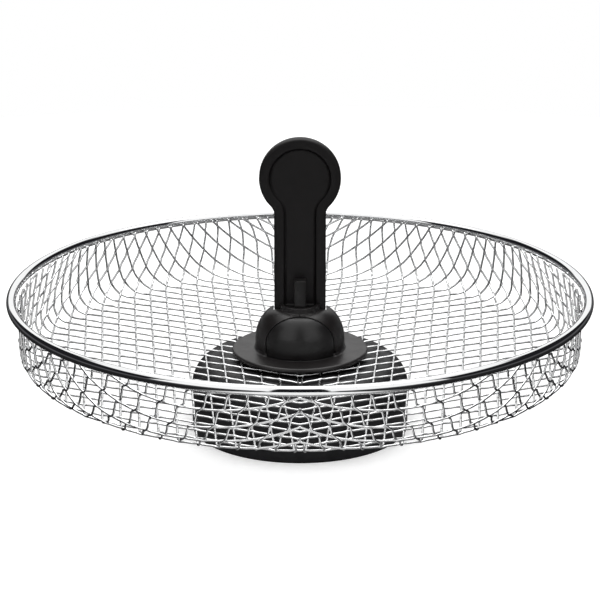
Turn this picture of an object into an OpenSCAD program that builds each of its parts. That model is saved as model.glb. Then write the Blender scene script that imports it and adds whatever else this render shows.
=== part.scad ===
// Round snack basket for a fryer pan: a woven wire tray with a rod rim, held on a black bell
// by a hub that carries a folding handle and its release button.
// The origin is the centre of the bell's foot, +Z is up and the button is on the -Y side.

/* [Rim] */
// Outer diameter of the rim ring
rim_d = 250; // [210:1:300]
// Thickness of the rim's rod
rim_rod = 4.2; // [3:0.1:6]
// Height of the rim's centre above the mesh floor
basket_depth = 28; // [22:1:45]

/* [Mesh] */
// Distance between neighbouring wires
mesh_pitch = 7.4; // [7:0.1:8.4]
// Angle by which the across wires come forward towards the middle
across_lean = 24; // [16:1:28]
// Angle by which the away wires lean outwards towards the back
away_lean = 4.5; // [0:0.5:8]
// Thickness of a mesh wire
mesh_wire = 0.9; // [0.6:0.1:1.1]
// Radius of the bend from the floor up to the wall
corner_r = 8; // [5:0.5:11]
// How far below the rim's centre the wires end
wire_tip_drop = 0.5; // [0:0.1:1]

/* [Bell] */
// Height of the mesh floor above the table
floor_h = 32; // [28:1:45]
// Outer diameter of the bell
bell_d = 93.4; // [80:0.2:120]
// Radius of the bell's shoulder
bell_shoulder_r = 12; // [6:0.5:16]
// Wall thickness of the bell
bell_wall = 2.4; // [1.6:0.1:3]
// Number of ribs inside the bell
bell_ribs = 6; // [4:2:6]
// Thickness of a rib
rib_t = 1.8; // [1:0.1:3]
// Depth of a rib below the bell's roof
rib_depth = 7; // [3:0.5:9]

/* [Drive socket] */
// Diameter of the hole that takes the fryer's drive post
socket_d = 12.2; // [8:0.1:14]
// Length of the socket
socket_len = 14; // [8:0.5:16]
// Height of the socket's mouth above the table
socket_mouth_h = 8; // [4:0.5:10]
// Wall of the steel bush
bush_wall = 1.1; // [0.6:0.1:2]
// Wall of the core around the bush
core_wall = 2.2; // [1.6:0.1:3]
// Number of driving notches in the core's lower end
drive_notches = 4; // [2:1:6]
// Width of a driving notch
notch_w = 3; // [2:0.5:4]
// Height of a driving notch
notch_h = 2.5; // [1:0.5:4]

/* [Hub] */
// Diameter of the flange that lies on the mesh
flange_d = 58.6; // [56:0.2:70]
// Thickness of the flange
flange_t = 2.3; // [2:0.1:4]
// Diameter of the dome at its foot
dome_d = 38.4; // [37:0.2:44]
// Height of the dome above the mesh floor
dome_h = 21.8; // [20:0.2:26]
// Radius of the dome's flat top
dome_top_r = 8; // [6:0.5:9]
// Height above the mesh floor where the dome starts to curve in
dome_curve_h = 7.5; // [5:0.5:10]
// Wall thickness of the hub's housing
hub_wall = 2.1; // [1.6:0.1:2.4]
// Half width of the front cover at its foot
cover_half_w = 14.6; // [12:0.2:15.4]
// Height above the mesh floor where the cover's arch starts
cover_spring_h = 9; // [6:0.5:12]
// Distance from the dome's top down to the cover's apex
cover_apex_drop = 0.9; // [0.6:0.1:3]
// Outer radius of the collar around the button
collar_r = 8.7; // [7:0.1:9.5]
// Height of the collar above the dome
collar_h = 2; // [1:0.2:3]
// Wall of the collar
collar_wall = 1.7; // [1:0.1:2.5]

/* [Handle] */
// Height of the head's centre above the mesh floor
head_h = 78.7; // [60:0.5:90]
// Diameter of the round head
head_d = 34.6; // [28:0.2:40]
// Width of the stem
stem_w = 22; // [18:0.2:22]
// Thickness of the handle
handle_t = 5.2; // [4:0.1:5.6]
// Radius of the fillet between head and stem
neck_fillet_r = 5; // [2:0.5:8]
// Width of the border around the recess
recess_border = 4.6; // [3:0.1:6]
// Depth of the recess in the handle's front
recess_depth = 0.9; // [0.4:0.1:1.4]
// Height of the hinge axis above the mesh floor
pivot_h = 9.5; // [9.3:0.1:10.5]
// Distance of the hinge axis behind the handle's middle plane
pivot_back = 2.6; // [2.2:0.1:3]
// Radius of the handle's barrel
barrel_r = 5.2; // [4.8:0.1:5.4]
// Diameter of the hinge pin
pin_d = 4; // [3:0.1:4.4]
// Angle through which the handle folds back
fold_angle = 90; // [80:1:90]

/* [Button] */
// Width of the button
button_w = 5; // [4:0.1:5.4]
// Height of the button's top above the dome
button_stand = 13.5; // [8:0.5:16]
// Travel of the button
button_travel = 2.5; // [1.5:0.1:3]
// Thickness of the brake shoe
shoe_t = 1.4; // [1:0.1:2]
// Outer diameter of the button's spring
spring_d = 6; // [5:0.1:7]
// Wire thickness of the spring
spring_wire = 0.7; // [0.5:0.05:0.9]
// Number of turns in the spring
spring_turns = 5; // [4:1:6]

/* [Screws and washers] */
// Diameter of a screw's shank
screw_d = 2.8; // [2.2:0.1:3]
// Length of a screw's shank
screw_len = 9.5; // [8.5:0.1:10]
// Diameter of a screw's head
screw_head_d = 5.2; // [4.4:0.1:6]
// Height of a screw's head
screw_head_h = 1.8; // [1.2:0.1:2.4]
// Thickness of the steel washers that grip the mesh
grip_t = 0.5; // [0.4:0.1:0.8]
// Width of those washers
grip_w = 3; // [2:0.1:3.4]
// Thickness of the washers beside the barrel
thrust_t = 0.3; // [0.2:0.05:0.4]
// Thickness of the pin's spring clips
clip_t = 0.6; // [0.4:0.1:0.8]

/* [Hidden] */

$fn = 96;
FINE = 160;         // facets of the large turned shapes
CURVE_STEPS = 14;   // straight steps along the dome's curve
ARCH_STEPS = 20;    // straight steps along half of the cover's arch
EPS = 0.01;         // overshoot of a cut past a face
OVER = 1;           // overshoot of a cut that passes right through a wall
BIG = 400;          // longer than anything that is cut
WIRE_SIDES = 16;    // facets round a floor wire
ROD_SIDES = 32;     // facets round the rim's rod
SPRING_SIDES = 5;   // facets round the spring's wire
SPRING_STEPS = 12;  // straight steps in one turn of the spring

// Clearances
touch = 0.05;       // between parts that rest on each other
slip = 0.15;        // between parts that pass through each other
run = 0.05;         // radial play of the hinge pin
swing = 0.4;        // on each side of the handle's stem in its slot
cover_gap = 0.25;   // joint line around the front cover
layer_gap = 0.2;    // between the two layers of wires
boss_play = 0.5;    // between a screw boss and the wires around it
hole_play = 0.9;    // between the neck and the cut wires around it
grip_play = 0.6;    // between the neck and the washers that grip the wires
button_gap = 0.45;  // between the button and the handle
guide_play = 0.3;   // between the spring and the post inside it
shoe_play = 0.3;    // between the brake shoe and the sides of the foot

// Mesh: the middle surface lies between the two layers of wires
layer_shift = (mesh_wire + layer_gap) / 2;
grip_half = layer_shift + mesh_wire / 2 + touch;
rim_mid_r = (rim_d - rim_rod) / 2;
wall_r = rim_mid_r - rim_rod / 2 - touch - layer_shift - mesh_wire / 2;
floor_r = wall_r - corner_r;
wall_rise = basket_depth - wire_tip_drop;
short_end = 1.5;    // the last wire round the wall is at least this far below the tips
n_all = floor((wall_r + wall_rise - short_end) / mesh_pitch - 0.5);
ACROSS = [-across_lean, 90 + away_lean];        // directions of a wire and of those that cross it
AWAY = [90 + away_lean, 180 - across_lean];
REACH = 260;        // no wire is longer than this on either side of its nearest point to the centre
LOOK = 5;           // distance between the places where a wire is looked for
HALVINGS = 18;      // when the end of a wire is searched
BEND_STEP = 5.5;    // longest straight step round the bend
WALL_STEP = 9.8;    // longest straight step on the wall
PART = 45;          // longest length that a wire round the wall is cut into
SHORTEST = 2;       // no piece of wire is shorter

// Centre of the hub, heights above the table
shoulder_w = 3;     // how far the neck stands out from the socket's boss
web_t = 2;          // wall between the socket and the spring's cup
axis_z = floor_h + pivot_h;
flange_z = floor_h + grip_half;
flange_top = flange_z + flange_t;
dome_z = floor_h + dome_h;
bell_top = floor_h - grip_half;
socket_r = socket_d / 2 + bush_wall + touch;
boss_wall_r = socket_r + core_wall;
neck_r = boss_wall_r + shoulder_w;
mesh_hole_r = neck_r + hole_play;
grip_r0 = neck_r + grip_play;
grip_r1 = grip_r0 + grip_w;
cavity_r = dome_d / 2 - hub_wall;
socket_top = socket_mouth_h + socket_len;
cup_floor = socket_top + web_t;
cup_r = neck_r - core_wall;
core_plate_z = flange_z + grip_t + touch;
core_plate_top = flange_top + slip;
slot_half = stem_w / 2 + swing;
slot_front = -handle_t / 2 - slip;
slot_sill = axis_z + pivot_back - handle_t / 2 - swing;
cheek_t = 2.2;      // thickness of the walls beside the handle that carry the pin
cheek_out = slot_half + cheek_t;
post_w = pin_d + 2 * run;
cover_back = -(dome_top_r + 1);     // the front cover lies in front of this
lip_t = 1.1;        // thickness of the cover's lip
lip_w = 1.4;        // how far the lip reaches behind the housing

// Hinge pin
groove_depth = 0.4; // of the grooves that hold the clips
pin_tail = 0.8;     // of the pin outside a clip
clip_w = 0.7;       // how far a clip stands out from the pin
thrust_inset = 0.6; // of the thrust washers from the barrel's edge
clip_x = cheek_out + touch;

// Button: a slide in front of the barrel with a foot that reaches under it
button_y = -handle_t / 2 - button_gap - button_w / 2;
button_top = dome_z + button_stand;
collar_y = slot_front + 1;
dish_rise = 0.4;    // floor of the collar's dish above the dome
slide_w = button_w + 2;
roof_z = dome_z - hub_wall;
slide_top = roof_z - slip;
shoe_r = barrel_r + touch;
foot_z = axis_z - barrel_r - touch - shoe_t - touch;
foot_t = 1.6;       // thickness of the button's foot
foot_back = pivot_back + barrel_r / 2;
foot_hang = foot_z - foot_t;
shoe_half = button_w / 2 - shoe_play;
shoe_rise = 0.6;    // how far the shoe's edges reach up beside the barrel
spring_y = -1.4;
pocket_depth = 0.6; // of the spring's seat in the foot
guide_d = spring_d - 2 * spring_wire - 2 * guide_play;
guide_h = 2.5;      // of the post that centres the spring

// Screws stand in the mesh openings, counted from the hub's centre along both directions
opening = mesh_pitch / sin(ACROSS[1] - ACROSS[0]);
SCREW_CELLS = [[-2, 1], [-3, -2]];
boss_r = (mesh_pitch - mesh_wire) / 2 - boss_play;
boss_z = bell_top - 2;
skin = 1.2;         // of the flange left above a screw's end
tap_play = 0.3;     // of the hole beyond a screw's end
cross_w = 0.7;      // width of the cross in a screw's head
screw_head_top = flange_top - skin - screw_len;
bell_boss_r = screw_head_d / 2 + 1.5;

// Place of a wire on the drawn sheet. The sheet's left half was a flat weave with wires in two directions, and
// its right half is the mirror image. A wire is [its direction, direction of those that cross it, distance from
// the centre, shift outwards], and t is the length along it from its nearest point to the centre.
function in_range(v) = min(max(v / wall_r, -1), 1);
function past(v) = max(abs(v) - wall_r, 0);
function wrapped(angle) = angle - 360 * round(angle / 360);
// [Length past the wall's foot, heading] at t. On the wall both follow from wires that keep their length while
// the openings lean over.
function seat(w, t) =
    norm([t, w[2]]) <= wall_r ? [norm([t, w[2]]) - wall_r, w[0] + atan2(w[2], t)] :
    let (g = w[1] - w[0], c = w[2], q = t * sin(g) - c * cos(g), sum = w[0] + w[1])
    let (side = t > past(c) * sign(c) / tan(g) ? 1 : -1)
    let (base = w[1] - 90 * side, d = wrapped(w[0] + 90 - side * (90 - asin(in_range(c))) - base))
    let (m = base + d, n = base + sign(d) * acos(side * in_range(q)))
    [
        wall_r * ((sin(sum - 2 * n) - sin(sum - 2 * m)) / (4 * sin(g)) + (m - n) * PI / 360 / tan(g))
            + past(q) + past(c),
        (m + n) / 2 + 45 / PI * (cos(sum - 2 * m) - cos(sum - 2 * n)) / sin(g)
            + 180 / PI * (past(q) - past(c)) / wall_r / tan(g)
    ];
function bend(s) = min(max((s + corner_r) / (2 * corner_r), 0), 1) * 90;
// Centre of the wire and outward direction of the sheet at t
function place(w, t) =
    let (p = seat(w, t), b = bend(p[0]), h = p[1])
    let (flat = min(p[0] + corner_r, 0), high = max(p[0] - corner_r, 0))
    let (r = floor_r + flat + (corner_r + w[3]) * sin(b))
    [
        [r * cos(h), r * sin(h), floor_h + corner_r - (corner_r + w[3]) * cos(b) + high],
        [sin(b) * cos(h), sin(b) * sin(h), -cos(b)]
    ];
// A wire of the left half ends at the wires' tips or just before the middle plane
function inside(w, t, top) =
    seat(w, t)[0] <= top && place(w, t)[0][0] <= -touch - abs(sin(w[0])) * mesh_wire / 2;
function end_between(w, good, bad, top, n = HALVINGS) =
    let (mid = (good + bad) / 2)
    n == 0 ? good :
    inside(w, mid, top) ? end_between(w, mid, bad, top, n - 1) : end_between(w, good, mid, top, n - 1);
// Both ends of a wire, or nothing where it does not enter the left half
function ends(w) =
    let (hits = [for (t = [-REACH:LOOK:REACH]) if (inside(w, t, wall_rise)) t], last = len(hits) - 1)
    last < 0 ? [] : [
        end_between(w, hits[0], hits[0] - LOOK, wall_rise),
        end_between(w, hits[last], hits[last] + LOOK, wall_rise)
    ];
// Half the length of a wire that lies on the flat floor
function floor_half(w) = sqrt(max(floor_r * floor_r - w[2] * w[2], 0));

// Places after a up to b, no further apart than step
function places(a, b, step) =
    let (n = ceil(abs(b - a) / step - EPS))
    n < 1 ? [] : [for (i = [1:n]) a + (b - a) * i / n];
function climb(w, a, b) =
    let (mid = end_between(w, a, b, corner_r))
    concat([a], places(a, mid, BEND_STEP), places(mid, b, WALL_STEP));

// Four corners of a wire's section at each place of the list
function ring_points(path, i) =
    let (p = path[i][0], n = path[i][1], r = mesh_wire / 2)
    let (side = cross(path[min(i + 1, len(path) - 1)][0] - path[max(i - 1, 0)][0], n))
    [p + r * n, p + r * side / norm(side), p - r * n, p - r * side / norm(side)];
module swept_wire(w, ts) {
    n = len(ts);
    path = [for (t = ts) place(w, t)];
    points = [for (i = [0:n - 1]) each ring_points(path, i)];
    sides = [for (i = [0:n - 2], k = [0:3])
        let (a = 4 * i + k, b = 4 * i + (k + 1) % 4)
        each [[a, b, b + 4], [a, b + 4, a + 4]]];
    caps = [[2, 1, 0], [3, 2, 0], [4 * n - 4, 4 * n - 3, 4 * n - 2], [4 * n - 4, 4 * n - 2, 4 * n - 1]];
    polyhedron(points = points, faces = concat(sides, caps), convexity = 4);
}

module both_halves() {
    children();
    mirror([1, 0, 0])
        children();
}

// Straight stretches of the wires on the floor
module floor_layer(directions, shift) {
    for (k = [-n_all - 1:n_all]) {
        w = concat(directions, [(k + 0.5) * mesh_pitch, shift]);
        half = floor_half(w) - touch;
        reach = half > 0 ? ends(w) : [];
        hole = sqrt(max(mesh_hole_r * mesh_hole_r - w[2] * w[2], 0));
        if (len(reach) > 0)
            for (piece = hole > 0 ? [[-half, -hole], [hole, half]] : [[-half, half]]) {
                start = max(piece[0], reach[0]);
                stop = min(piece[1], reach[1]);
                if (stop - start > SHORTEST)
                    translate(place(w, start)[0])
                        rotate([0, 90, w[0]])
                            cylinder(h = stop - start, d = mesh_wire, $fn = WIRE_SIDES);
            }
    }
}

// The parts of the same wires that climb the wall or run round it
module wall_layer(directions, shift) {
    for (k = [-n_all - 1:n_all]) {
        w = concat(directions, [(k + 0.5) * mesh_pitch, shift]);
        half = floor_half(w);
        reach = ends(w);
        if (len(reach) > 0 && half > 0) {
            low = min(-half, reach[1]);
            high = max(half, reach[0]);
            if (low - reach[0] > SHORTEST)
                swept_wire(w, climb(w, low, reach[0]));
            if (reach[1] - high > SHORTEST)
                swept_wire(w, climb(w, high, reach[1]));
        } else if (len(reach) > 0) {
            length = reach[1] - reach[0];
            parts = ceil(length / PART);
            if (length > SHORTEST)
                for (i = [0:parts - 1]) {
                    start = reach[0] + i * length / parts + (i > 0 ? slip : 0);
                    swept_wire(w, concat([start], places(start, reach[0] + (i + 1) * length / parts, WALL_STEP)));
                }
        }
    }
}

module rim_ring() {
    color("silver")
    translate([0, 0, floor_h + basket_depth])
        rotate_extrude($fn = FINE)
            translate([rim_mid_r, 0])
                circle(d = rim_rod, $fn = ROD_SIDES);
}

module floor_wires_across() {
    color("gainsboro")
    both_halves()
        floor_layer(ACROSS, layer_shift);
}

module floor_wires_away() {
    color("gainsboro")
    both_halves()
        floor_layer(AWAY, -layer_shift);
}

module wall_wires_across() {
    color("gainsboro")
    both_halves()
        wall_layer(ACROSS, layer_shift);
}

module wall_wires_away() {
    color("gainsboro")
    both_halves()
        wall_layer(AWAY, -layer_shift);
}

module grip_washer(z) {
    translate([0, 0, z])
        difference() {
            cylinder(h = grip_t, r = grip_r1);
            translate([0, 0, -EPS])
                cylinder(h = grip_t + 2 * EPS, r = grip_r0);
        }
}

module upper_grip_washer() {
    color("silver")
    grip_washer(flange_z);
}

module lower_grip_washer() {
    color("silver")
    grip_washer(bell_top - grip_t);
}

// Half section of the bell's outside, drawn in by inset
module bell_section(inset) {
    r = bell_d / 2 - inset;
    round_r = bell_shoulder_r - inset;
    top = bell_top - inset;
    square([r - round_r, top]);
    square([r, top - round_r]);
    translate([r - round_r, top - round_r])
        intersection() {
            circle(r = round_r);
            square(round_r + 1);
        }
}

module bell_space() {
    rotate_extrude($fn = FINE)
        bell_section(bell_wall);
}

module screw_places() {
    for (cell = SCREW_CELLS, side = [-1, 1]) {
        x = opening * (cell[0] * cos(ACROSS[0]) + cell[1] * cos(AWAY[0]));
        y = opening * (cell[0] * sin(ACROSS[0]) + cell[1] * sin(AWAY[0]));
        translate([side * x, y, 0])
            children();
    }
}

module bell_rib() {
    translate([neck_r + slip, -rib_t / 2, bell_top - bell_wall - rib_depth])
        cube([bell_d / 2, rib_t, rib_depth + bell_wall / 2]);
}

module base_bell() {
    color([0.09, 0.09, 0.1])
    difference() {
        union() {
            difference() {
                rotate_extrude($fn = FINE)
                    bell_section(0);
                translate([0, 0, -EPS])
                    bell_space();
            }
            intersection() {
                bell_space();
                for (k = [0:bell_ribs - 1])
                    rotate([0, 0, 360 * k / bell_ribs])
                        bell_rib();
            }
            screw_places()
                translate([0, 0, screw_head_top])
                    cylinder(h = bell_top - bell_wall / 2 - screw_head_top, r = bell_boss_r);
        }
        // way for the core
        cylinder(h = BIG, r = neck_r + slip);
        // seat of the lower washer
        translate([0, 0, bell_top - grip_t - touch])
            cylinder(h = BIG, r = grip_r1 + slip);
        screw_places() {
            cylinder(h = BIG, d = screw_d + 2 * slip);
            translate([0, 0, boss_z - slip])
                cylinder(h = BIG, r = boss_r + slip);
        }
    }
}

// Posts of the core under the ends of the hinge pin
module pin_posts(foot, top) {
    for (side = [-1, 1])
        translate([side * (slot_half + cheek_t / 2) - cheek_t / 2 + touch, pivot_back - post_w / 2 + touch, foot])
            cube([cheek_t - 2 * touch, post_w - 2 * touch, top - foot]);
}

// Post in the middle of the spring
module spring_post() {
    translate([0, spring_y, cup_floor - EPS])
        cylinder(h = guide_h, d = guide_d);
}

// Column that carries the drive socket, the spring's cup and the lower halves of the pin's seats
module hub_core() {
    color([0.12, 0.12, 0.13])
    difference() {
        union() {
            translate([0, 0, socket_mouth_h])
                cylinder(h = socket_len + EPS, r = boss_wall_r);
            difference() {
                union() {
                    translate([0, 0, socket_top])
                        cylinder(h = core_plate_top - socket_top, r = neck_r);
                    translate([0, 0, core_plate_z])
                        cylinder(h = core_plate_top - core_plate_z, r = cavity_r - slip);
                }
                translate([0, 0, cup_floor])
                    cylinder(h = BIG, r = cup_r);
            }
            spring_post();
            pin_posts(core_plate_top - flange_t / 2, axis_z);
        }
        translate([0, 0, socket_mouth_h - EPS])
            cylinder(h = socket_len + EPS, r = socket_r);
        for (k = [0:drive_notches - 1])
            rotate([0, 0, 360 * (k + 0.5) / drive_notches])
                translate([socket_r - OVER, -notch_w / 2, socket_mouth_h - EPS])
                    cube([core_wall + 2 * OVER, notch_w, notch_h]);
        // lower half of the pin's seat
        translate([-BIG / 2, pivot_back, axis_z])
            rotate([0, 90, 0])
                cylinder(h = BIG, r = pin_d / 2 + run);
    }
}

module socket_bush() {
    color("silver")
    translate([0, 0, socket_mouth_h])
        difference() {
            cylinder(h = socket_len, r = socket_d / 2 + bush_wall);
            translate([0, 0, -EPS])
                cylinder(h = socket_len + 2 * EPS, r = socket_d / 2);
        }
}

// Solid of the dome, drawn in by inset, from the height foot up to its flat top
module dome_solid(inset, foot) {
    wide = dome_d / 2 - dome_top_r - inset;
    tall = dome_h - dome_curve_h - inset;
    curve = [for (i = [0:CURVE_STEPS])
        [dome_top_r, floor_h + dome_curve_h] +
        [wide * cos(90 * i / CURVE_STEPS), tall * sin(90 * i / CURVE_STEPS)]];
    rotate_extrude($fn = FINE)
        polygon(concat([[0, foot], [dome_top_r + wide, foot]], curve, [[0, dome_z - inset]]));
}

// Prism in front of the dome with the outline of the cover, grown by grow
module arch_prism(grow, back) {
    half = cover_half_w + grow;
    tall = dome_h - cover_apex_drop - cover_spring_h + grow;
    arch = [for (i = [0:ARCH_STEPS])
        [half * cos(180 * i / ARCH_STEPS), floor_h + cover_spring_h + tall * sin(180 * i / ARCH_STEPS)]];
    translate([0, back, 0])
        rotate([90, 0, 0])
            linear_extrude(height = dome_d)
                polygon(concat([[-half, flange_top], [half, flange_top]], arch));
}

module hub_housing() {
    color([0.11, 0.11, 0.12])
    difference() {
        union() {
            difference() {
                union() {
                    translate([0, 0, flange_z])
                        cylinder(h = flange_t, d = flange_d, $fn = FINE);
                    dome_solid(0, flange_z + touch);
                    translate([0, collar_y, dome_z - hub_wall / 2])
                        cylinder(h = collar_h + hub_wall / 2, r = collar_r);
                }
                // inside of the dome
                dome_solid(hub_wall, flange_z - EPS);
                // way for the handle, open to the top and the back
                translate([-slot_half, slot_front, slot_sill])
                    cube([2 * slot_half, BIG, BIG]);
                // front opening
                translate([0, 0, EPS])
                    arch_prism(0, cover_back);
            }
            // cheeks beside the handle
            intersection() {
                dome_solid(hub_wall / 2, core_plate_top + touch);
                for (side = [-1, 1])
                    translate([side * (slot_half + cheek_t / 2) - cheek_t / 2, slot_front, core_plate_top + touch])
                        cube([cheek_t, BIG, BIG]);
            }
            screw_places()
                translate([0, 0, boss_z])
                    cylinder(h = flange_z - boss_z + EPS, r = boss_r);
        }
        // open-bottomed seats of the pin
        translate([-cheek_out - touch, pivot_back, axis_z])
            rotate([0, 90, 0])
                cylinder(h = 2 * (cheek_out + touch), r = pin_d / 2 + run);
        translate([-cheek_out - touch, pivot_back - post_w / 2, flange_top - OVER])
            cube([2 * (cheek_out + touch), post_w, axis_z - flange_top + OVER]);
        // hollow and hole for the button
        translate([0, collar_y, dome_z + dish_rise])
            cylinder(h = BIG, r = collar_r - collar_wall);
        translate([-button_w / 2 - slip, button_y - button_w / 2 - slip, roof_z - OVER])
            cube([button_w + 2 * slip, slot_front - button_y + button_w / 2 + slip + EPS, BIG]);
        screw_places()
            translate([0, 0, boss_z - EPS])
                cylinder(h = screw_head_top + screw_len + tap_play - boss_z, d = screw_d + 2 * touch);
    }
}

module front_cover() {
    color([0.12, 0.12, 0.13])
    union() {
        intersection() {
            difference() {
                dome_solid(0, flange_top + touch);
                dome_solid(hub_wall + touch, flange_z);
            }
            arch_prism(-cover_gap, cover_back - cover_gap);
        }
        // lip that lies behind the housing
        intersection() {
            difference() {
                dome_solid(hub_wall + touch, core_plate_top + touch);
                dome_solid(hub_wall + touch + lip_t, flange_z);
            }
            arch_prism(lip_w, cover_back - cover_gap);
        }
    }
}

module screw() {
    difference() {
        union() {
            cylinder(h = screw_len, d = screw_d);
            translate([0, 0, -screw_head_h])
                cylinder(h = screw_head_h, d = screw_head_d);
        }
        for (a = [0, 90])
            rotate([0, 0, a])
                translate([-screw_head_d / 3, -cross_w / 2, -screw_head_h - EPS])
                    cube([2 * screw_head_d / 3, cross_w, screw_head_h / 2]);
    }
}

module housing_screws() {
    color("silver")
    screw_places()
        translate([0, 0, screw_head_top - touch])
            screw();
}

// Outline of the handle with its middle on X = 0, drawn in by inset, from the height foot
module handle_outline(inset, foot) {
    head_r = head_d / 2 - inset;
    half = stem_w / 2 - inset;
    fillet = neck_fillet_r + inset;
    drop = sqrt(pow(head_r + fillet, 2) - pow(half + fillet, 2));
    mid = floor_h + head_h;
    meet = head_r / (head_r + fillet);
    translate([0, mid])
        circle(r = head_r);
    translate([-half, foot])
        square([2 * half, mid - foot]);
    for (side = [-1, 1])
        difference() {
            polygon([
                [0, mid - drop],
                [side * (half + fillet), mid - drop],
                [side * (half + fillet) * meet, mid - drop * meet],
                [0, mid - drop * meet]
            ]);
            translate([side * (half + fillet), mid - drop])
                circle(r = fillet);
        }
}

module handle() {
    color([0.1, 0.1, 0.11])
    difference() {
        union() {
            translate([0, handle_t / 2, 0])
                rotate([90, 0, 0])
                    linear_extrude(height = handle_t)
                        handle_outline(0, axis_z);
            translate([-stem_w / 2, pivot_back, axis_z])
                rotate([0, 90, 0])
                    cylinder(h = stem_w, r = barrel_r);
        }
        translate([0, EPS - handle_t / 2 + recess_depth, 0])
            rotate([90, 0, 0])
                linear_extrude(height = recess_depth + EPS)
                    handle_outline(recess_border, dome_z + collar_h / 2);
        translate([-stem_w, pivot_back, axis_z])
            rotate([0, 90, 0])
                cylinder(h = 2 * stem_w, r = pin_d / 2 + run);
    }
}

module pivot_pin() {
    reach = clip_x + clip_t + pin_tail;
    color("silver")
    translate([0, pivot_back, axis_z])
        rotate([0, 90, 0])
            difference() {
                translate([0, 0, -reach])
                    cylinder(h = 2 * reach, d = pin_d);
                for (z = [-clip_x - clip_t - touch, clip_x - touch])
                    translate([0, 0, z])
                        difference() {
                            cylinder(h = clip_t + 2 * touch, r = pin_d);
                            translate([0, 0, -EPS])
                                cylinder(h = clip_t + OVER, d = pin_d - 2 * groove_depth);
                        }
            }
}

module pin_clips() {
    color("silver")
    for (x = [-clip_x - clip_t, clip_x])
        translate([x, pivot_back, axis_z])
            rotate([0, 90, 0])
                difference() {
                    cylinder(h = clip_t, d = pin_d + 2 * clip_w);
                    translate([0, 0, -EPS])
                        cylinder(h = clip_t + 2 * EPS, d = pin_d - 2 * groove_depth + 2 * touch);
                    translate([-pin_d, -pin_d / 4, -EPS])
                        cube([pin_d, pin_d / 2, clip_t + 2 * EPS]);
                }
}

module thrust_washers() {
    color("silver")
    for (x = [-stem_w / 2 - touch - thrust_t, stem_w / 2 + touch])
        translate([x, pivot_back, axis_z])
            rotate([0, 90, 0])
                difference() {
                    cylinder(h = thrust_t, r = barrel_r - thrust_inset);
                    translate([0, 0, -EPS])
                        cylinder(h = thrust_t + 2 * EPS, r = pin_d / 2 + run);
                }
}

module release_button() {
    front = button_y - button_w / 2;
    color([0.1, 0.1, 0.11])
    difference() {
        union() {
            translate([-button_w / 2, front, foot_hang])
                cube([button_w, button_w, button_top - foot_hang]);
            translate([-slide_w / 2, front, foot_hang])
                cube([slide_w, button_w, slide_top - foot_hang]);
            translate([-button_w / 2, front, foot_hang])
                cube([button_w, foot_back - front, foot_t]);
        }
        // room for the head of the spring post as the button goes down
        translate([0, spring_y, foot_hang - EPS])
            cylinder(h = pocket_depth, d = spring_d + 2 * slip);
    }
}

// Curved pad on the foot that presses on the barrel from below
module brake_shoe() {
    color([0.25, 0.22, 0.2])
    difference() {
        translate([-shoe_half, pivot_back - barrel_r / 2, foot_z + touch])
            cube([2 * shoe_half, barrel_r - shoe_play, shoe_t + shoe_rise]);
        translate([-BIG / 2, pivot_back, axis_z])
            rotate([0, 90, 0])
                cylinder(h = BIG, r = shoe_r);
    }
}

module button_spring() {
    steps = SPRING_STEPS * spring_turns;
    low = cup_floor + touch + spring_wire / 2;
    high = foot_hang + pocket_depth - touch - spring_wire / 2;
    mid_r = (spring_d - spring_wire) / 2;
    points = [for (i = [0:steps], k = [0:SPRING_SIDES - 1])
        let (turned = 360 * i / SPRING_STEPS, around = 360 * k / SPRING_SIDES)
        let (r = mid_r + spring_wire / 2 * cos(around))
        let (z = low + (high - low) * i / steps + spring_wire / 2 * sin(around))
        [r * cos(turned), spring_y + r * sin(turned), z]];
    sides = [for (i = [0:steps - 1], k = [0:SPRING_SIDES - 1])
        let (a = SPRING_SIDES * i + k, b = SPRING_SIDES * i + (k + 1) % SPRING_SIDES)
        each [[a, b + SPRING_SIDES, b], [a, a + SPRING_SIDES, b + SPRING_SIDES]]];
    last = SPRING_SIDES * steps;
    ends = [
        [for (k = [0:SPRING_SIDES - 1]) k],
        [for (k = [SPRING_SIDES - 1:-1:0]) last + k]
    ];
    color("silver")
    polyhedron(points = points, faces = concat(sides, ends), convexity = 8);
}

rim_ring();
floor_wires_across();
floor_wires_away();
wall_wires_across();
wall_wires_away();
upper_grip_washer();
lower_grip_washer();
base_bell();
hub_core();
socket_bush();
hub_housing();
front_cover();
housing_screws();
handle();
pivot_pin();
pin_clips();
thrust_washers();
release_button();
brake_shoe();
button_spring();
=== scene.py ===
"""Round snack basket for a fryer pan: woven wire tray, rod rim, black bell foot and a hub
with a folding paddle handle and its release button. Every length is in metres."""
import math

import bmesh
import bpy
import numpy as np
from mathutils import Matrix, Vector


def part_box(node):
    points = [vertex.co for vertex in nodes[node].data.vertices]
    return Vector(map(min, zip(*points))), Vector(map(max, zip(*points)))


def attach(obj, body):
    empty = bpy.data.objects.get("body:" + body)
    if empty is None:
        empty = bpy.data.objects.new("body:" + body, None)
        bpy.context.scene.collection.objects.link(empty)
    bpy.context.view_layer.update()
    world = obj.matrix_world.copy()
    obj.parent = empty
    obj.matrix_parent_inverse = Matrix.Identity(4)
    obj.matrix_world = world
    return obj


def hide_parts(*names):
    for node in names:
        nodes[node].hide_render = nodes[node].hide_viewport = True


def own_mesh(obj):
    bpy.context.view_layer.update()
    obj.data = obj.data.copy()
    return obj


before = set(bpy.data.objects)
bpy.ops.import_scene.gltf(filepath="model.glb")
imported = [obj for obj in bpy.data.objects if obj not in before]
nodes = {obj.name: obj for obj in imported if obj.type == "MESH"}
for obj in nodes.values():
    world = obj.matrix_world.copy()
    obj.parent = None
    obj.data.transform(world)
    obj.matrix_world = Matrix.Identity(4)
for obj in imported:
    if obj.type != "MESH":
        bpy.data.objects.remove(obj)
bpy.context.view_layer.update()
MM = 0.001
TURN = 2 * math.pi

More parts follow.
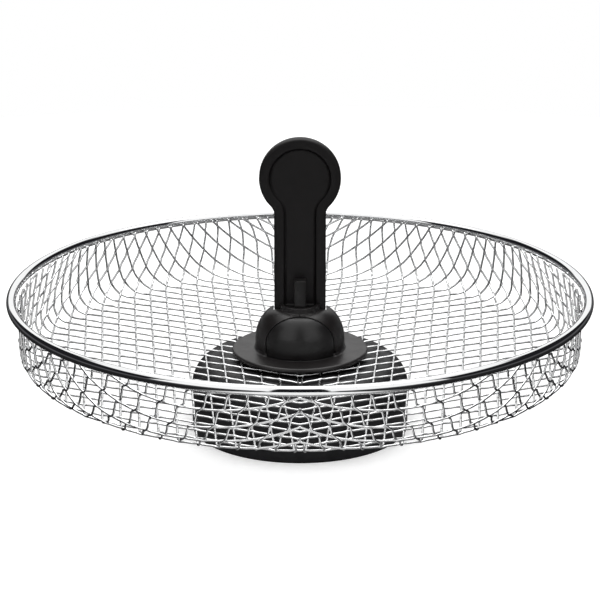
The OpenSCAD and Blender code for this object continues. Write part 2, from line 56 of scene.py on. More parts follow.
# Mesh, rim and hub sizes
PITCH = 7.4 * MM            # between neighbouring wires
ACROSS = math.radians(-24)  # direction of the across wires in the left half
AWAY = math.radians(94.5)   # direction of the away wires in the left half
WIRE_R = 0.45 * MM          # wire radius
ACROSS_SWING = 0.22 * MM    # how far an across wire hops to each side of the sheet's middle
AWAY_SWING = 0.42 * MM      # the same of an away wire; at the crossings the wires are pressed into each other
HOP = 0.17                  # half length of a hop, as a share of the pitch
STEP = 0.85 * MM            # how far an away wire on the wall steps to each side of its smooth line
FLOOR_Z = 32 * MM           # middle of the mesh floor
CORNER_R = 8 * MM           # bend from the floor up to the wall
WALL_R = 119.75 * MM        # middle of the mesh wall
WALL_RISE = 27.5 * MM       # climb of the wires above the floor's edge
ROD_R = 2.1 * MM            # rim rod
RIM_R = 122.9 * MM          # middle line of the rim
RIM_Z = 60 * MM
HOLE_R = 13.4 * MM          # hole in the mesh for the hub's neck
MIDDLE_GAP = 0.45 * MM      # the away wires stop this far before the middle plane
JOINED = 0.05 * MM          # a wire that ends nearer to the middle plane goes on as its mirror image
SHORTEST = 1.5 * MM         # wires shorter than this are left out
DOME_R = 19.2 * MM          # hub's dome
PANEL_HALF_W = 14.6 * MM    # half width of the front panel in the dome
FOOT_FILLET = 1.1 * MM      # hollow arc between the dome and the flange
PANEL_FILLET = 0.05         # share of that arc which is left at the front panel
FLANGE_GAP = 0.02 * MM      # between the dome and the hollow arc's end
FLANGE_TUCK = 0.8 * MM      # how far the flange reaches inside the dome's skin
FLANGE_T = 2.3 * MM
FLANGE_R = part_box("hub_housing")[1][0]
FLANGE_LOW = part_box("upper_grip_washer")[0][2]
SPRING_TURNS = 5
SPRING_WIRE = 0.7 * MM

# Fineness of the round pieces
RIM_STEPS, RIM_SIDES = 720, 28
WIRE_SIDES, RINGS_PER_PITCH = 8, 14
FLANGE_STEPS, EDGE_STEPS, FILLET_STEPS = 180, 13, 7
SPRING_STEPS, SPRING_SIDES = 28, 12  # in one turn, and round the wire
FLOOR_STEPS = 96


# ---------------------------------------------------------------- mesh helpers

def grid_faces(rows, cols, close_rows=False, close_cols=False):
    """Quads between neighbouring points of a rows x cols grid, numbered row by row."""
    r = np.arange(rows if close_rows else rows - 1)
    c = np.arange(cols if close_cols else cols - 1)
    r, c = np.meshgrid(r, c, indexing="ij")
    r1, c1 = (r + 1) % rows, (c + 1) % cols
    quads = np.stack([r * cols + c, r * cols + c1, r1 * cols + c1, r1 * cols + c], -1)
    return quads.reshape(-1, 4)


def outward(points, quads):
    """The quads, turned over if the volume that they enclose comes out negative."""
    p = points[quads]
    centre = points.mean(0)
    a, b, c, d = (p[:, k] - centre for k in range(4))
    volume = (np.cross(a, b) * c).sum() + (np.cross(a, c) * d).sum()
    return quads if volume > 0 else quads[:, ::-1]


def place_piece(mesh, finish, body="basket"):
    """A smooth object of the mesh that rides on a body and takes its finish from a slot."""
    mesh.polygons.foreach_set("use_smooth", np.full(len(mesh.polygons), True))
    mesh.materials.clear()
    mesh.materials.append(finish)
    piece = bpy.data.objects.new(mesh.name, mesh)
    bpy.context.scene.collection.objects.link(piece)
    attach(piece, body)
    return piece


def make_piece(name, points, quads, finish, merge=1e-6):
    """A piece from an array of points and an array of quads. Points closer than merge become one."""
    mesh = bpy.data.meshes.new(name)
    mesh.from_pydata(points.tolist(), [], quads.tolist())
    if merge:
        work = bmesh.new()
        work.from_mesh(mesh)
        bmesh.ops.remove_doubles(work, verts=work.verts, dist=merge)
        bmesh.ops.dissolve_degenerate(work, edges=work.edges, dist=merge)
        work.to_mesh(mesh)
        work.free()
    return place_piece(mesh, finish)


def turned(profile, steps):
    """Points of a profile of (radius, height) pairs carried round the Z axis in that many steps."""
    angle = np.arange(steps) * TURN / steps
    r, z = profile[:, 0], profile[:, 1]
    return np.stack([
        r[:, None] * np.cos(angle), r[:, None] * np.sin(angle), np.repeat(z[:, None], steps, 1)
    ], -1).reshape(-1, 3)


def swept(path, normal, radius, sides):
    """Tube round a path. Its section is a circle across the path, counted from the normal."""
    along = np.gradient(path, axis=0)
    along /= np.linalg.norm(along, axis=1)[:, None]
    n = normal - along * (normal * along).sum(1)[:, None]
    n /= np.linalg.norm(n, axis=1)[:, None]
    side = np.cross(along, n)
    a = np.arange(sides) * TURN / sides
    ring = np.cos(a)[None, :, None] * n[:, None] + np.sin(a)[None, :, None] * side[:, None]
    return (path[:, None] + radius * ring).reshape(-1, 3)


# ---------------------------------------------------------------- shader helpers

def new_group(name, inputs, outputs):
    """An empty shader group with named float, colour or vector sockets."""
    kinds = {"float": "NodeSocketFloat", "colour": "NodeSocketColor", "vector": "NodeSocketVector"}
    group = bpy.data.node_groups.new(name, "ShaderNodeTree")
    for label, kind, value in inputs:
        socket = group.interface.new_socket(name=label, in_out="INPUT", socket_type=kinds[kind])
        if value is not None:
            socket.default_value = value
    for label, kind in outputs:
        group.interface.new_socket(name=label, in_out="OUTPUT", socket_type=kinds[kind])
    tree = Tree(group)
    tree.source = group.nodes.new("NodeGroupInput")
    tree.result = group.nodes.new("NodeGroupOutput")
    return group, tree


class Tree:
    """Short names for the nodes that the finishes are built from."""

    def __init__(self, tree):
        self.tree = tree

    def node(self, kind, settings=None, **inputs):
        made = self.tree.nodes.new(kind)
        for key, value in (settings or {}).items():
            setattr(made, key, value)
        for key, value in inputs.items():
            self.feed(made.inputs[key.replace("_", " ")], value)
        return made

    def feed(self, socket, value):
        if isinstance(value, bpy.types.NodeSocket):
            self.tree.links.new(value, socket)
        else:
            socket.default_value = value

    def math(self, operation, a, b=0.0, c=0.0, clamp=False):
        made = self.tree.nodes.new("ShaderNodeMath")
        made.operation = operation
        made.use_clamp = clamp
        for socket, value in zip(made.inputs, (a, b, c)):
            self.feed(socket, value)
        return made.outputs[0]

    def remap(self, value, from_low, from_high, to_low, to_high, smooth=False):
        made = self.tree.nodes.new("ShaderNodeMapRange")
        made.interpolation_type = "SMOOTHSTEP" if smooth else "LINEAR"
        for socket, number in zip(made.inputs, (value, from_low, from_high, to_low, to_high)):
            self.feed(socket, number)
        return made.outputs[0]

    def mix(self, factor, a, b):
        made = self.tree.nodes.new("ShaderNodeMix")
        made.data_type = "RGBA"
        self.feed(made.inputs[0], factor)
        self.feed(made.inputs[6], a)
        self.feed(made.inputs[7], b)
        return made.outputs[2]

    def noise(self, place, scale, detail=3.0, roughness=0.5):
        made = self.node("ShaderNodeTexNoise", Scale=scale, Detail=detail, Roughness=roughness)
        self.feed(made.inputs["Vector"], place)
        return made.outputs["Fac"]

    def bump(self, height, distance, strength):
        made = self.node("ShaderNodeBump", Height=height, Distance=distance, Strength=strength)
        return made.outputs["Normal"]

    def product(self, a, b, clamp=False):
        return self.math("MULTIPLY", a, b, clamp=clamp)


def new_finish(name):
    """A material with an empty tree, its Principled shader and the place on the object."""
    material = bpy.data.materials.new(name)
    material.use_nodes = True
    tree = Tree(material.node_tree)
    shader = material.node_tree.nodes["Principled BSDF"]
    place = tree.node("ShaderNodeTexCoord").outputs["Object"]
    return material, tree, shader, place


# ---------------------------------------------------------------- finishes

def moulding_group():
    """Skin of moulded plastic: a fine spark-eroded grain, broad uneven gloss, pale edges that are partly
    rubbed wear and partly a painted highlight, and painted shade that darkens the matt creases."""
    group, t = new_group(
        "Moulded skin",
        [("Place", "vector", None), ("Colour", "colour", (0.01, 0.01, 0.01, 1)),
         ("Gloss", "float", 0.4), ("Grain", "float", 0.5), ("Wear", "float", 0.3)],
        [("Colour", "colour"), ("Roughness", "float"), ("Normal", "vector")])
    i, o = t.source.outputs, t.result.inputs
    fine = t.noise(i["Place"], 5200, 2.0)
    broad = t.noise(i["Place"], 38, 3.0)
    patch = t.noise(i["Place"], 210, 4.0, 0.6)
    edge = t.node("ShaderNodeNewGeometry").outputs["Pointiness"]
    # Pale edges: partly rubbed wear and partly a painted highlight along the convex edges.
    wear_and_highlight = t.product(t.remap(edge, 0.53, 0.6, 0, 1), t.remap(patch, 0.4, 0.65, 0.2, 1))
    wear_and_highlight = t.product(wear_and_highlight, i["Wear"], clamp=True)
    tint = t.math("MULTIPLY_ADD", t.math("SUBTRACT", broad, 0.5), 0.5, 1.0)
    shade = t.node("ShaderNodeVectorMath", {"operation": "SCALE"})
    t.feed(shade.inputs[0], i["Colour"])
    t.feed(shade.inputs["Scale"], tint)
    pale = t.node("ShaderNodeVectorMath", {"operation": "MULTIPLY_ADD"})
    t.feed(pale.inputs[0], i["Colour"])
    pale.inputs[1].default_value = (2.2, 2.2, 2.2)
    pale.inputs[2].default_value = (0.012, 0.0115, 0.011)
    # Painted shade: the colour goes nearly black where ambient occlusion finds creases and recesses, which
    # are also made rougher.
    hollow = t.node("ShaderNodeAmbientOcclusion", Distance=0.0014)
    hollow.samples = 8
    open_air = t.remap(hollow.outputs["AO"], 0.35, 0.85, 0.12, 1, True)
    shade_painted_colour = t.mix(open_air, (0.001, 0.001, 0.001, 1), t.mix(wear_and_highlight, shade.outputs[0], pale.outputs[0]))
    t.feed(o["Colour"], shade_painted_colour)
    uneven = t.math("MULTIPLY_ADD", t.math("SUBTRACT", patch, 0.5), 0.22, i["Gloss"])
    uneven = t.math("MULTIPLY_ADD", wear_and_highlight, -0.06, uneven)
    t.feed(o["Roughness"], t.math("MULTIPLY_ADD", t.math("SUBTRACT", 1.0, open_air), 0.3, uneven, clamp=True))
    height = t.product(fine, i["Grain"])
    t.feed(o["Normal"], t.bump(height, 0.00002, 0.7))
    return group


def plating_group():
    """Skin of plated wire: a faint blotchy haze, small dull spots and shallow dimples."""
    group, t = new_group(
        "Plated skin",
        [("Place", "vector", None), ("Colour", "colour", (0.9, 0.9, 0.9, 1)),
         ("Gloss", "float", 0.06), ("Haze", "float", 0.5), ("Dimples", "float", 0.5)],
        [("Colour", "colour"), ("Roughness", "float"), ("Normal", "vector")])
    i, o = t.source.outputs, t.result.inputs
    cloud = t.noise(i["Place"], 90, 4.0, 0.6)
    spots = t.noise(i["Place"], 900, 2.0)
    dull = t.product(t.remap(spots, 0.6, 0.72, 0, 1), t.remap(cloud, 0.45, 0.7, 0, 1))
    haze = t.product(t.remap(cloud, 0.3, 0.7, 0, 1), i["Haze"])
    rough = t.math("MULTIPLY_ADD", haze, 0.1, i["Gloss"])
    t.feed(o["Roughness"], t.math("MULTIPLY_ADD", dull, 0.12, rough, clamp=True))
    darker = t.node("ShaderNodeVectorMath", {"operation": "SCALE"})
    t.feed(darker.inputs[0], i["Colour"])
    darker.inputs["Scale"].default_value = 0.82
    t.feed(o["Colour"], t.mix(t.math("MULTIPLY_ADD", dull, 0.6, t.product(haze, 0.25)),
                              i["Colour"], darker.outputs[0]))
    t.feed(o["Normal"], t.bump(t.product(cloud, i["Dimples"]), 0.00006, 0.5))
    return group


MOULDING = moulding_group()
PLATING = plating_group()


def plastic(name, colour, gloss, grain, edge_wear_and_highlight, specular):
    """Black moulded plastic."""
    material, t, shader, place = new_finish(name)
    skin = t.node("ShaderNodeGroup", {"node_tree": MOULDING},
                  Place=place, Colour=(*colour, 1), Gloss=gloss, Grain=grain, Wear=edge_wear_and_highlight)
    t.feed(shader.inputs["Base Color"], skin.outputs["Colour"])
    t.feed(shader.inputs["Roughness"], skin.outputs["Roughness"])
    t.feed(shader.inputs["Normal"], skin.outputs["Normal"])
    shader.inputs["Specular IOR Level"].default_value = specular
    return material


def plated(name, colour, gloss, haze, dimples):
    """Bright plated or bare steel."""
    material, t, shader, place = new_finish(name)
    skin = t.node("ShaderNodeGroup", {"node_tree": PLATING},
                  Place=place, Colour=(*colour, 1), Gloss=gloss, Haze=haze, Dimples=dimples)
    t.feed(shader.inputs["Base Color"], skin.outputs["Colour"])
    t.feed(shader.inputs["Roughness"], skin.outputs["Roughness"])
    t.feed(shader.inputs["Normal"], skin.outputs["Normal"])
    shader.inputs["Metallic"].default_value = 1.0
    return material


rim_chrome = plated("Rim chrome", (0.93, 0.935, 0.94), 0.03, 0.25, 0.3)
wire_chrome = plated("Wire chrome", (0.87, 0.875, 0.88), 0.04, 0.2, 0.4)
bare_steel = plated("Bare steel", (0.62, 0.61, 0.6), 0.28, 0.8, 1.0)
bell_black = plastic("Bell black", (0.012, 0.012, 0.0135), 0.42, 0.6, 0.3, 0.4)
core_black = plastic("Core black", (0.012, 0.012, 0.012), 0.5, 0.7, 0.2, 0.4)
hub_black = plastic("Hub black", (0.0125, 0.0108, 0.0108), 0.34, 0.5, 0.9, 0.46)
cover_black = plastic("Cover black", (0.0105, 0.0098, 0.01), 0.33, 0.5, 0.3, 0.5)
handle_black = plastic("Handle black", (0.0088, 0.0075, 0.0078), 0.46, 0.7, 0.8, 0.3)
button_black = plastic("Button black", (0.0065, 0.006, 0.006), 0.36, 0.4, 0.9, 0.35)
shoe_rubber = plastic("Shoe rubber", (0.03, 0.027, 0.025), 0.8, 1.0, 0.0, 0.3)

CAD_FINISHES = {
    "rim_ring": rim_chrome,
    "floor_wires_across": wire_chrome,
    "floor_wires_away": wire_chrome,
    "wall_wires_across": wire_chrome,
    "wall_wires_away": wire_chrome,
    "upper_grip_washer": bare_steel,
    "lower_grip_washer": bare_steel,
    "base_bell": bell_black,
    "hub_core": core_black,
    "socket_bush": bare_steel,
    "hub_housing": hub_black,
    "front_cover": cover_black,
    "housing_screws": bare_steel,
    "handle": handle_black,
    "pivot_pin": bare_steel,
    "pin_clips": bare_steel,
    "thrust_washers": bare_steel,
    "release_button": button_black,
    "brake_shoe": shoe_rubber,
    "button_spring": bare_steel,
}
for node_name, finish in CAD_FINISHES.items():
    slots = nodes[node_name].data.materials
    if len(slots) == 0:
        slots.append(finish)
    for k in range(len(slots)):
        slots[k] = finish


# ---------------------------------------------------------------- rim

def make_rim():
    """The rim: a circle of the rod's radius carried round the basket."""
    a = np.arange(RIM_SIDES) * TURN / RIM_SIDES
    profile = np.stack([RIM_R + ROD_R * np.cos(a), RIM_Z + ROD_R * np.sin(a)], -1)
    points = turned(profile, RIM_STEPS)
    quads = outward(points, grid_faces(RIM_SIDES, RIM_STEPS, close_rows=True, close_cols=True))
    rim = make_piece("rim_rod", points, quads, rim_chrome)
    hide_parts("rim_ring")


make_rim()


# ---------------------------------------------------------------- woven wires

def clipped(v):
    """Share of the wall's radius that an offset has used up, between -1 and 1."""
    return np.clip(v / WALL_R, -1, 1)


def past(v):
    """How far an offset lies outside the wall's radius."""
    return np.maximum(np.abs(v) - WALL_R, 0)


def seat(own, other, c, t):
    """Length past the wall's foot, and heading, of a wire's point. The left half of the sheet was a flat
    weave: the wire runs in the direction own at the offset c from the centre and is crossed by wires in
    the direction other, and t is the length along it. On the wall both families keep their length while
    the openings lean over, which gives the two sums of sines below; m and n are the headings at which
    this wire and the crossing one leave the floor."""
    g, total = other - own, own + other
    q = t * math.sin(g) - c * math.cos(g)
    side = np.where(t > past(c) * np.sign(c) / math.tan(g), 1.0, -1.0)
    base = other - side * math.pi / 2
    turned_by = own + math.pi / 2 - side * (math.pi / 2 - np.arcsin(clipped(c))) - base
    turned_by = turned_by - TURN * np.round(turned_by / TURN)
    m, n = base + turned_by, base + np.sign(turned_by) * np.arccos(clipped(side * q))
    up = WALL_R * (np.sin(total - 2 * n) - np.sin(total - 2 * m)) / (4 * math.sin(g))
    up = up + WALL_R * (m - n) / (2 * math.tan(g)) + past(q) + past(c)
    turn = (m + n) / 2 + (np.cos(total - 2 * m) - np.cos(total - 2 * n)) / (4 * math.sin(g))
    turn = turn + (past(q) - past(c)) / (WALL_R * math.tan(g))
    far = np.hypot(t, c)
    return np.where(far > WALL_R, up, far - WALL_R), np.where(far > WALL_R, turn, own + np.arctan2(c, t))


def sheet_point(own, other, c, t, shift):
    """Place and outward direction of a wire's point, moved outwards by shift: flat on the floor,
    round the corner's quarter circle, then straight up the wall."""
    s, h = seat(own, other, c, t)
    bend = np.clip((s + CORNER_R) / (2 * CORNER_R), 0, 1) * math.pi / 2
    flat, high = np.minimum(s + CORNER_R, 0), np.maximum(s - CORNER_R, 0)
    r = WALL_R - CORNER_R + flat + (CORNER_R + shift) * np.sin(bend)
    z = FLOOR_Z + CORNER_R - (CORNER_R + shift) * np.cos(bend) + high
    place = np.stack([r * np.cos(h), r * np.sin(h), z], -1)
    out = np.stack([np.sin(bend) * np.cos(h), np.sin(bend) * np.sin(h), -np.cos(bend)], -1)
    return place, out


def in_left_half(own, other, c, t, gap):
    """True where a wire's point is below the wires' tips and left of the middle plane."""
    s, h = seat(own, other, c, t)
    place, out = sheet_point(own, other, c, t, 0)
    return (s <= WALL_RISE) & (place[..., 0] <= -gap)


def wire_ends(own, other, c, gap):
    """The t at both ends of a wire's part in the left half, or None where it has none. They are looked
    for in steps of 1 mm and then by halving the step in which each end lies."""
    t = np.arange(-LONGEST, LONGEST, LOOK)
    found = t[in_left_half(own, other, c, t, gap)]
    if len(found) == 0:
        return None
    ends = []
    for good, bad in ((found[0], found[0] - LOOK), (found[-1], found[-1] + LOOK)):
        for _ in range(HALVINGS):
            middle = (good + bad) / 2
            if in_left_half(own, other, c, middle, gap):
                good = middle
            else:
                bad = middle
        ends.append(good)
    return ends


LONGEST = 0.26              # no wire reaches further than this from its middle
LOOK = 0.001                # step in which a wire's ends are looked for
HALVINGS = 14               # of that step
LAST_WIRE = int((WALL_R + WALL_RISE - SHORTEST) / PITCH - 0.5)
SWING = {ACROSS: ACROSS_SWING, AWAY: AWAY_SWING}
SIDEWAYS = {ACROSS: 0.0, AWAY: -STEP}
EASE_FROM, EASE_OVER = 0.36, 0.14   # a step turns back from this share of the pitch on, within this much
STEP_SLOPE = 2.6                    # how steep a step is at its crossing
STEP_MEAN, STEP_FRONT = 0.6, 0.4    # size of the steps: mean, and how much more at the front


def woven_path(own, other, k, t):
    """Place and outward direction of wire k at every t. The wire lies straight in the sheet's middle and
    hops over or under the other wire at each crossing, in turns. On the wall an away wire also steps
    sideways at the crossings, most at the front, so that it stands straighter between them."""
    c = (k + 0.5) * PITCH
    g = other - own
    q = (t * math.sin(g) - c * math.cos(g)) / PITCH
    from_crossing = (q - 0.5) - np.round(q - 0.5)
    side = np.where(np.round(q - 0.5) % 2 == k % 2, 1, -1)
    swing = SWING[own] * side * np.exp(-(from_crossing / HOP) ** 2)
    s, h = seat(own, other, c, t)
    on_wall = np.clip((s + CORNER_R) / (2 * CORNER_R), 0, 1)
    saw = q - np.round(q)
    steps = saw * (1 - np.clip((np.abs(saw) - EASE_FROM) / EASE_OVER, 0, 1)) * STEP_SLOPE
    sideways = SIDEWAYS[own] * steps * on_wall * (STEP_MEAN - STEP_FRONT * np.sin(h))
    return sheet_point(own, other, c + sideways, t + sideways / math.tan(g), swing)


def left_wires(own, other, gap):
    """Paths of the wires of one family in the left half, in stretches where the hub's hole cuts them."""
    paths = []
    for k in range(-LAST_WIRE - 1, LAST_WIRE + 1):
        c = (k + 0.5) * PITCH
        reach = wire_ends(own, other, c, gap)
        if reach is None:
            continue
        start, end = reach
        stretches = [(start, end)]
        if abs(c) < HOLE_R:
            hole = math.sqrt(HOLE_R ** 2 - c * c)
            stretches = [(start, min(end, -hole)), (max(start, hole), end)]
        for a, b in stretches:
            if b - a > SHORTEST:
                t = np.linspace(a, b, int((b - a) / PITCH * RINGS_PER_PITCH) + 3)
                paths.append(woven_path(own, other, k, t))
    return paths


def whole_wires(paths):
    """The paths and their mirror images. A path that reaches the middle plane goes on as its image."""
    flip = np.array([-1.0, 1.0, 1.0])
    whole = []
    for place, out in paths:
        image = (place[::-1] * flip, out[::-1] * flip)
        if abs(place[-1, 0]) < JOINED:
            whole.append((np.concatenate([place[:-1], image[0]]), np.concatenate([out[:-1], image[1]])))
        else:
            whole.extend([(place, out), image])
    return whole


def make_wires(names, wires, axis, *replaced):
    """Two pieces of the wires of a family: those whose middle lies on the negative side of an axis, and
    those on the positive side. Each wire is a tube whose eight-sided tips are closed by three quads."""
    tips = np.array([[0, 1, 2, 3], [0, 3, 4, 7], [4, 5, 6, 7]])[:, ::-1]
    for name, side in zip(names, (-1, 1)):
        points, quads, count = [], [], 0
        for place, out in wires:
            if place[:, axis].mean() * side > 0:
                tube = swept(place, out, WIRE_R, WIRE_SIDES)
                faces = grid_faces(len(place), WIRE_SIDES, close_cols=True)
                faces = np.concatenate([faces, tips, tips[:, ::-1] + len(tube) - WIRE_SIDES])
                points.append(tube)
                quads.append(outward(tube, faces) + count)
                count += len(tube)
        points, quads = np.concatenate(points), np.concatenate(quads)
        piece = make_piece(name, points, quads, wire_chrome, merge=0)
        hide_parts(*replaced)


across_wires = whole_wires(left_wires(ACROSS, AWAY, 0))
away_wires = whole_wires(left_wires(AWAY, ACROSS + math.pi, MIDDLE_GAP))
make_wires(("woven_wires_across_front", "woven_wires_across_back"), across_wires, 1,
           "floor_wires_across", "wall_wires_across")
make_wires(("woven_wires_away_left", "woven_wires_away_right"), away_wires, 0,
           "floor_wires_away", "wall_wires_away")


# ---------------------------------------------------------------- moulded pieces

def softened(name, node, radius, finish, body="basket", without=None, thin=False):
    """A moulded piece with the shape of a CAD node whose sharp edges and inner corners are rounded: the
    node's triangles are merged, flat regions become single faces, and every edge that turns by more than
    SHARP gets an arc of the given radius. Faces that reach further than without from the middle are left
    out. On a thin piece the arcs shrink where they would overlap."""
    mesh = nodes[node].data.copy()
    mesh.name = name
    work = bmesh.new()
    work.from_mesh(mesh)
    bmesh.ops.remove_doubles(work, verts=work.verts, dist=MERGE)
    bmesh.ops.dissolve_limit(work, angle_limit=FLAT, verts=work.verts, edges=work.edges)
    bmesh.ops.recalc_face_normals(work, faces=work.faces)
    if without:
        wide = [f for f in work.faces if max(v.co.xy.length for v in f.verts) > without]
        bmesh.ops.delete(work, geom=wide, context="FACES")
    work.to_mesh(mesh)
    work.free()
    piece = place_piece(mesh, finish, body)
    bevel = piece.modifiers.new("rounded edges", "BEVEL")
    bevel.width = radius
    bevel.segments = 3
    bevel.limit_method = "ANGLE"
    bevel.angle_limit = SHARP
    bevel.use_clamp_overlap = thin
    bevel.harden_normals = True
    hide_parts(node)


def make_flange():
    """The hub's flange: a disc with a full round edge. Its top runs into the dome's foot in a hollow arc,
    which ends at the joint lines of the front panel. The outline is turned round the middle, and only
    the hollow arc's radius changes with the angle."""
    top = FLANGE_LOW + FLANGE_T
    half = FLANGE_T / 2
    turn = (np.arange(FLANGE_STEPS) * TURN / FLANGE_STEPS)[:, None]
    ahead = np.cos(turn + math.pi / 2)
    at_panel = ahead > math.cos(math.asin(PANEL_HALF_W / DOME_R))
    fillet = np.where(at_panel, PANEL_FILLET, 1.0) * FOOT_FILLET
    arc = np.linspace(-math.pi / 2, math.pi / 2, EDGE_STEPS)
    edge_r = FLANGE_R - half + half * np.cos(arc)
    edge_z = FLANGE_LOW + half + half * np.sin(arc)
    hollow = np.linspace(0, math.pi / 2, FILLET_STEPS)
    hollow_r = DOME_R + FLANGE_GAP + fillet * (1 - np.sin(hollow))
    hollow_z = top + fillet * (1 - np.cos(hollow))
    ones = np.ones((FLANGE_STEPS, 1))
    inner = ones * (DOME_R - FLANGE_TUCK)
    r = np.concatenate([inner, ones * edge_r, hollow_r, inner], 1)
    z = np.concatenate([ones * FLANGE_LOW, ones * edge_z, hollow_z, top + fillet], 1)
    points = np.stack([r * np.cos(turn), r * np.sin(turn), z], -1).reshape(-1, 3)
    quads = outward(points, grid_faces(*r.shape, close_rows=True, close_cols=True))
    piece = make_piece("hub_flange", points, quads, hub_black)
    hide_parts("hub_housing")


def make_spring():
    """The button's coil spring: a round wire on a helix between the cup and the button's foot, with
    closed ends."""
    low, high = (np.array(corner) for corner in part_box("button_spring"))
    middle = (low + high) / 2
    length = high[2] - low[2]
    coil_r = (high[0] - low[0] - SPRING_WIRE) / 2
    share = np.linspace(0, 1, SPRING_TURNS * SPRING_STEPS + 1)
    turn = TURN * SPRING_TURNS * share
    height = low[2] + SPRING_WIRE / 2 + (length - SPRING_WIRE) * share
    path = np.stack([coil_r * np.cos(turn), middle[1] + coil_r * np.sin(turn), height], -1)
    normal = np.stack([np.cos(turn), np.sin(turn), 0 * turn], -1)
    tube = swept(path, normal, SPRING_WIRE / 2, SPRING_SIDES)
    first, last = (np.repeat(tip, SPRING_SIDES, 0) for tip in (path[:1], path[-1:]))
    points = np.concatenate([first, tube, last])
    quads = outward(points, grid_faces(len(path) + 2, SPRING_SIDES, close_cols=True))
    piece = make_piece("coil_spring", points, quads, bare_steel)
    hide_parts("button_spring")
    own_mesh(piece)


MERGE = 2e-6                # corners of the CAD's triangles that are nearer than this become one
FLAT = math.radians(0.6)    # neighbouring faces that turn by less than this become one
SHARP = math.radians(28)    # edges that turn by more than this are rounded
softened("handle_paddle", "handle", 0.9 * MM, handle_black, "handle")
softened("button_cap", "release_button", 0.35 * MM, button_black, "button")
softened("hub_shell", "hub_housing", 0.25 * MM, hub_black, without=0.9 * FLANGE_R)
make_flange()
make_spring()
softened("cover_panel", "front_cover", 0.3 * MM, cover_black)
softened("bell_foot", "base_bell", 0.6 * MM, bell_black, thin=True)


# ---------------------------------------------------------------- floor, light and camera

def make_floor():
    """Plain pale round floor, white to the camera with the shadow kept. Plated surfaces see it as a table
    between black cards: white in front of the basket, grey below it and black at both sides."""
    angle = np.arange(FLOOR_STEPS) * TURN / FLOOR_STEPS
    points = np.stack([FLOOR_R * np.cos(angle), FLOOR_R * np.sin(angle), 0 * angle], -1)
    mesh = bpy.data.meshes.new("floor")
    mesh.from_pydata(points.tolist(), [], [list(range(FLOOR_STEPS))])
    floor = bpy.data.objects.new("floor", mesh)
    bpy.context.scene.collection.objects.link(floor)
    material, t, shader, place = new_finish("Floor")
    shader.inputs["Roughness"].default_value = 0.9
    shader.inputs["Specular IOR Level"].default_value = 0.1
    path = t.node("ShaderNodeLightPath").outputs
    part = t.node("ShaderNodeSeparateXYZ", Vector=place).outputs
    middle = t.remap(t.math("ABSOLUTE", part["X"]), *CARD_EDGE_X, 1, 0, True)
    front = t.remap(part["Y"], *CARD_EDGE_Y, 1, BELOW_BASKET, True)
    cards = t.mix(t.product(middle, front), CARD_BLACK, TABLE_WHITE)
    t.feed(shader.inputs["Base Color"], t.mix(path["Is Glossy Ray"], FLOOR_WHITE, cards))
    seen = t.math("MAXIMUM", path["Is Camera Ray"], path["Is Transmission Ray"])
    t.feed(shader.inputs["Emission Color"], WHITE)
    t.feed(shader.inputs["Emission Strength"], t.product(seen, FLOOR_GLOW))
    mesh.materials.append(material)


WHITE = (1, 1, 1, 1)
FLOOR_WHITE = (0.9, 0.9, 0.9, 1)
TABLE_WHITE = (0.95, 0.95, 0.95, 1)
CARD_BLACK = (0.01, 0.01, 0.011, 1)
FLOOR_R = 0.6
CARD_EDGE_X = (0.05, 0.075)    # between the table and the cards at both sides
CARD_EDGE_Y = (-0.16, -0.12)   # between the table in front and the grey below the basket
BELOW_BASKET = 0.22            # share of the table's white that is left there
FLOOR_GLOW = 0.35
make_floor()


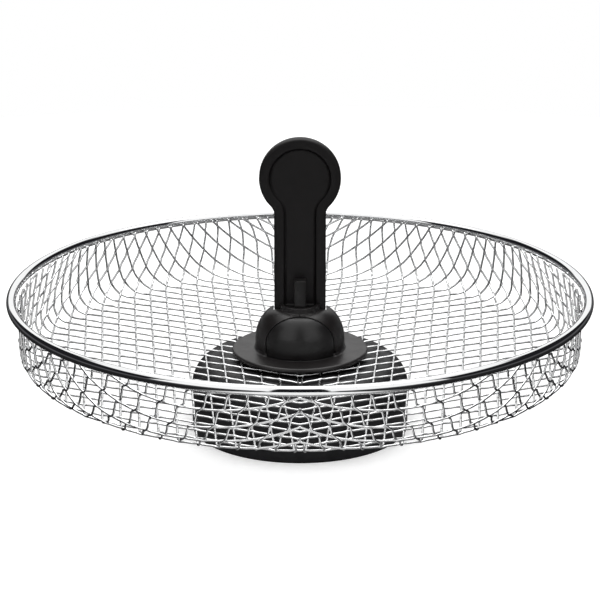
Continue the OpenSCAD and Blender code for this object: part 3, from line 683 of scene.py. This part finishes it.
def make_world():
    """A white studio. Black flags stand at both sides, a dark slot is behind the camera, and a low dark
    grey strip runs round the rest of the table's edge. The camera sees plain white."""
    world = bpy.data.worlds.new("Studio")
    bpy.context.scene.world = world
    world.use_nodes = True
    t = Tree(world.node_tree)
    background = world.node_tree.nodes["Background"]
    look = t.node("ShaderNodeTexCoord").outputs["Generated"]
    part = t.node("ShaderNodeSeparateXYZ", Vector=look).outputs
    degrees = 180 / math.pi
    turn = t.math("ARCTAN2", t.math("ABSOLUTE", part["X"]), t.product(part["Y"], -1))
    turn = t.product(turn, degrees)
    rise = t.product(t.math("ARCSINE", part["Z"]), degrees)

    def between(value, low, high, soft):
        """1 where the value lies between low and high, with soft edges."""
        return t.product(t.remap(value, low - soft, low + soft, 0, 1, True),
                         t.remap(value, high - soft, high + soft, 1, 0, True))

    slot, flag, strip = (t.product(between(turn, *sides), between(rise, LOWEST, *top))
                         for sides, top in (SLOT, FLAG, STRIP))
    studio = t.mix(t.math("MAXIMUM", flag, slot), WHITE, FLAG_BLACK)
    studio = t.mix(strip, studio, STRIP_GREY)
    seen = t.node("ShaderNodeLightPath").outputs["Is Camera Ray"]
    t.feed(background.inputs["Color"], t.mix(seen, studio, WHITE))
    background.inputs["Strength"].default_value = 1.0


# Each dark part of the studio, in degrees: from and to either side of the camera, with the softness of
# those edges, and its top edge, with its softness. All go down past the horizon.
SLOT = ((-10, 11, 1), (58, 3))
FLAG = ((57, 150, 2), (46, 3))
STRIP = ((12, 190, 3), (9, 2))
LOWEST = -100
FLAG_BLACK = (0.012, 0.012, 0.014, 1)
STRIP_GREY = (0.08, 0.08, 0.085, 1)
make_world()

CAMERA_TARGET = Vector((0, 0, 0.05652))
CAMERA_DISTANCE = 1.0093
CAMERA_RISE = math.radians(17.93)
camera = bpy.data.objects.new("camera", bpy.data.cameras.new("camera"))
bpy.context.scene.collection.objects.link(camera)
camera.data.sensor_width = 36
camera.data.lens = 141.26
camera.data.clip_start = 0.05
camera.data.clip_end = 30
towards_camera = Vector((0, -math.cos(CAMERA_RISE), math.sin(CAMERA_RISE)))
camera.location = CAMERA_TARGET + CAMERA_DISTANCE * towards_camera
camera.rotation_euler = (CAMERA_TARGET - camera.location).to_track_quat("-Z", "Y").to_euler()
bpy.context.scene.camera = camera

key = bpy.data.objects.new("overhead", bpy.data.lights.new("overhead", "AREA"))
bpy.context.scene.collection.objects.link(key)
key.data.shape = "RECTANGLE"
key.data.size = 0.9
key.data.size_y = 0.7
key.data.energy = 6
key.location = (0, 0.25, 1.1)
hub_middle = Vector((0, 0, 0.05))
key.rotation_euler = (hub_middle - key.location).to_track_quat("-Z", "Y").to_euler()

bpy.context.scene.view_settings.view_transform = "Standard"
